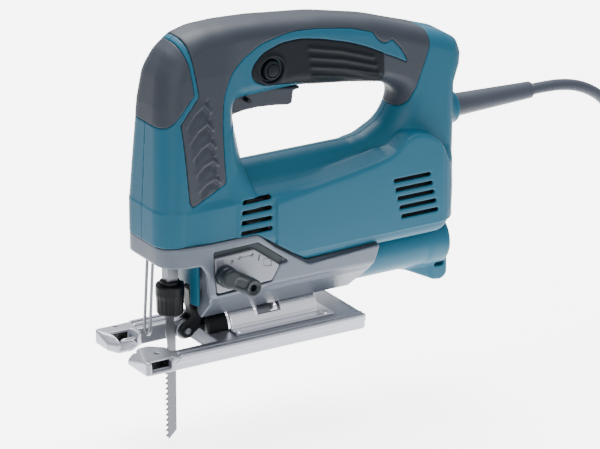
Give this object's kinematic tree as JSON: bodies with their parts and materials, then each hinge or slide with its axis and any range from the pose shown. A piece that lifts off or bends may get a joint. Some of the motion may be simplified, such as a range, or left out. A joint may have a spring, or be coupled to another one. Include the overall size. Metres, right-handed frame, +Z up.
{
  "type": "corded jigsaw",
  "caption": "Corded D-handle jigsaw with tilting base, reciprocating blade drive, orbital selector, tool-free blade clamp and coiled power cord.",
  "frame": {"origin": "on the sole of the base, at the blade, in the tool's middle plane", "axes": "+X towards the cord end, +Y towards the tool's right side, +Z up from the sole"},
  "size_m": [0.4931, 0.1156, 0.2765],
  "materials": {
    "teal_shell": "moulded nylon, fine satin texture, blue-green",
    "soft_grip": "dark grey soft overmould, matt",
    "cast_aluminium": "die-cast and bead-blasted",
    "plate_silver": "silver painted plate",
    "ground_steel": "ground steel",
    "bright_steel": "bright pressed steel",
    "dark_steel": "dark phosphated steel",
    "black_oxide": "black oxide",
    "blade_steel": "grey blade steel",
    "laminated_iron": "laminated electrical steel",
    "copper_wire": "varnished copper",
    "brush_brass": "pressed brass",
    "carbon": "carbon graphite",
    "black_plastic": "black moulded plastic",
    "cord_rubber": "dark grey rubber sheath"
  },
  "bodies": {
    "housing": {"housing_left": "teal_shell", "housing_right": "teal_shell", "front_pad": "soft_grip", "top_grip": "soft_grip", "handle_insert_left": "soft_grip", "handle_insert_right": "soft_grip", "gear_housing": "cast_aluminium", "gear_case_plate": "cast_aluminium", "wire_guard": "bright_steel", "selector_plate": "plate_silver", "dust_duct": "teal_shell", "rod_guide_upper": "ground_steel", "rod_guide_lower": "ground_steel", "motor_field": "laminated_iron", "field_windings": "copper_wire", "brush_holders": "brush_brass", "carbon_brushes": "carbon", "brush_springs": "ground_steel", "front_bearing": "ground_steel", "rear_bearing": "ground_steel", "baffle_ring": "black_plastic", "switch_body": "black_plastic", "trigger_pin": "ground_steel", "housing_screws": "dark_steel", "gear_screws": "dark_steel", "cord_clamp": "black_plastic", "cord_guard": "cord_rubber", "power_cord": "cord_rubber", "cord_coil": "cord_rubber", "cord_tail": "cord_rubber", "cord_tie": "black_plastic", "plug_body": "black_plastic", "plug_pins": "bright_steel", "gear_spindle": "ground_steel", "base_bolt": "dark_steel", "retainer_pivot": "ground_steel"},
    "trigger": {"trigger": "soft_grip"},
    "lock_button": {"lock_button": "soft_grip"},
    "armature": {"armature_shaft": "ground_steel", "armature_core": "laminated_iron", "commutator": "copper_wire", "fan": "black_plastic"},
    "gear": {"gear_wheel": "ground_steel", "crank_roller": "ground_steel"},
    "rod": {"blade_rod": "ground_steel", "rod_yoke": "ground_steel", "clamp_body": "black_oxide", "saw_blade": "blade_steel"},
    "sleeve": {"clamp_sleeve": "black_oxide"},
    "balance": {"balance_plate": "ground_steel"},
    "retainer": {"retainer_arm": "black_oxide", "roller_pin": "ground_steel"},
    "roller": {"support_roller": "dark_steel"},
    "lever": {"orbital_lever": "black_plastic"},
    "shoe": {"bevel_shoe": "dark_steel"},
    "base": {"base_plate": "cast_aluminium", "bevel_saddle": "bright_steel", "saddle_rivets": "bright_steel"}
  },
  "joints": [
    {"name": "trigger_pull", "type": "hinge", "parent": "housing", "child": "trigger", "pos_m": [0.05, 0, 0.1615], "axis": [0, -1, 0], "range_deg": [0, 6], "stiffness_Nm_per_rad": 0.6, "springref_deg": -5.73},
    {"name": "lock_press", "type": "slide", "parent": "housing", "child": "lock_button", "axis": [0, 1, 0], "range_m": [0, 0.003], "stiffness_N_per_m": 300, "springref_m": -0.003},
    {"name": "armature_spin", "type": "hinge", "parent": "housing", "child": "armature", "pos_m": [0.1, 0, 0.078], "axis": [1, 0, 0], "continuous": true},
    {"name": "gear_spin", "type": "hinge", "parent": "housing", "child": "gear", "pos_m": [0.026, 0, 0.105], "axis": [1, 0, 0], "continuous": true},
    {"name": "rod_stroke", "type": "slide", "parent": "housing", "child": "rod", "axis": [0, 0, 1], "range_m": [0, 0.023]},
    {"name": "balance_stroke", "type": "slide", "parent": "housing", "child": "balance", "axis": [0, 0, 1], "range_m": [-0.023, 0]},
    {"name": "clamp_twist", "type": "hinge", "parent": "rod", "child": "sleeve", "pos_m": [-0.0012, 0, 0.035], "axis": [0, 0, 1], "range_deg": [0, 60], "stiffness_Nm_per_rad": 0.1, "springref_deg": -17.19},
    {"name": "retainer_swing", "type": "hinge", "parent": "housing", "child": "retainer", "pos_m": [0.017, 0, 0.042], "axis": [0, -1, 0], "range_deg": [0, 4]},
    {"name": "roller_spin", "type": "hinge", "parent": "retainer", "child": "roller", "pos_m": [0.0085, 0, 0.012], "axis": [0, 1, 0], "continuous": true},
    {"name": "orbital_select", "type": "hinge", "parent": "housing", "child": "lever", "pos_m": [0.021, -0.035, 0.056], "axis": [0, -1, 0], "range_deg": [0, 75]},
    {"name": "base_tilt", "type": "hinge", "parent": "housing", "child": "shoe", "pos_m": [0.07, 0, 0.01], "axis": [1, 0, 0], "range_deg": [-45, 45]},
    {"name": "base_slide", "type": "slide", "parent": "shoe", "child": "base", "axis": [1, 0, 0], "range_m": [0, 0.012]}
  ],
  "couplings": [
    {"joint": "gear_spin", "follows": "armature_spin", "ratio": -0.2},
    {"joint": "balance_stroke", "follows": "rod_stroke", "ratio": -1}
  ]
}
